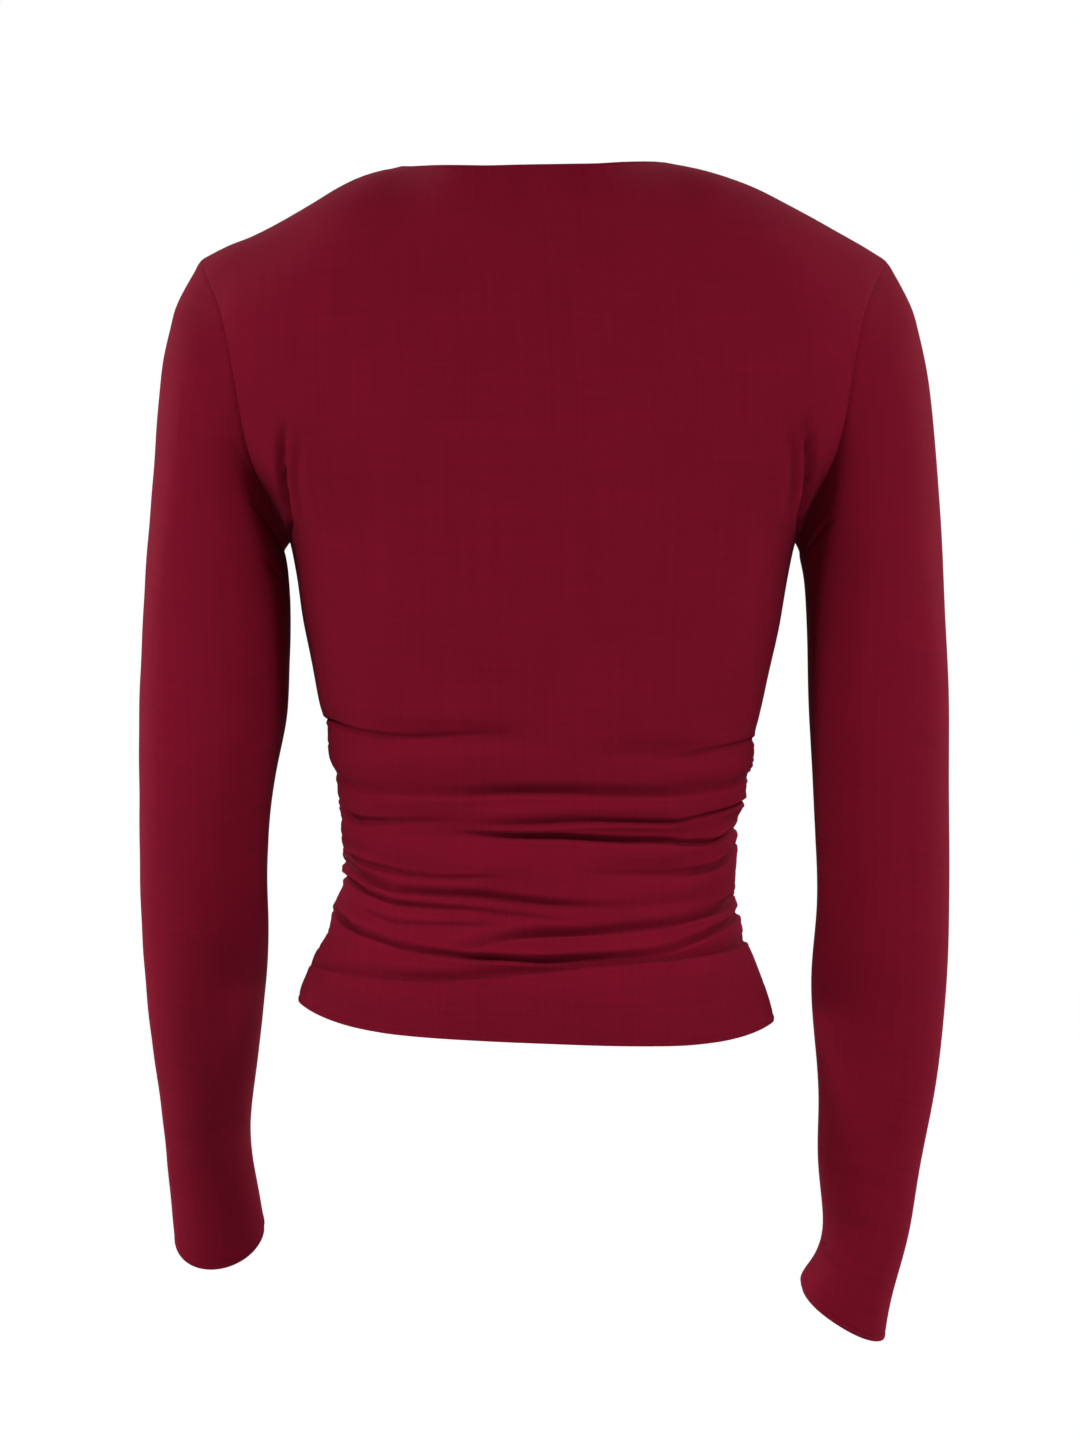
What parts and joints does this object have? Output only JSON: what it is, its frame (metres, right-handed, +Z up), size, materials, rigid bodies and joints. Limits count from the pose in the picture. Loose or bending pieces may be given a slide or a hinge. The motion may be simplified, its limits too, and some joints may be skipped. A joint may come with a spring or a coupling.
{
  "type": "square neck top",
  "caption": "Fitted long-sleeved jersey top with a square front neckline, gathered side seams and a short flared hem, in its worn form.",
  "frame": {"origin": "midway between the neck ends of the two shoulder seams", "axes": "+Z up along the body, the front faces -Y, the back faces +Y, the wearer's left is +X"},
  "size_m": [0.4486, 0.2238, 0.6556],
  "materials": {
    "jersey": "matt fine jersey knit, dark wine red, with a soft sheen at grazing angles"
  },
  "bodies": {
    "root": {"back_panel": "jersey", "front_panel": "jersey", "left_sleeve": "jersey", "right_sleeve": "jersey"}
  },
  "joints": []
}
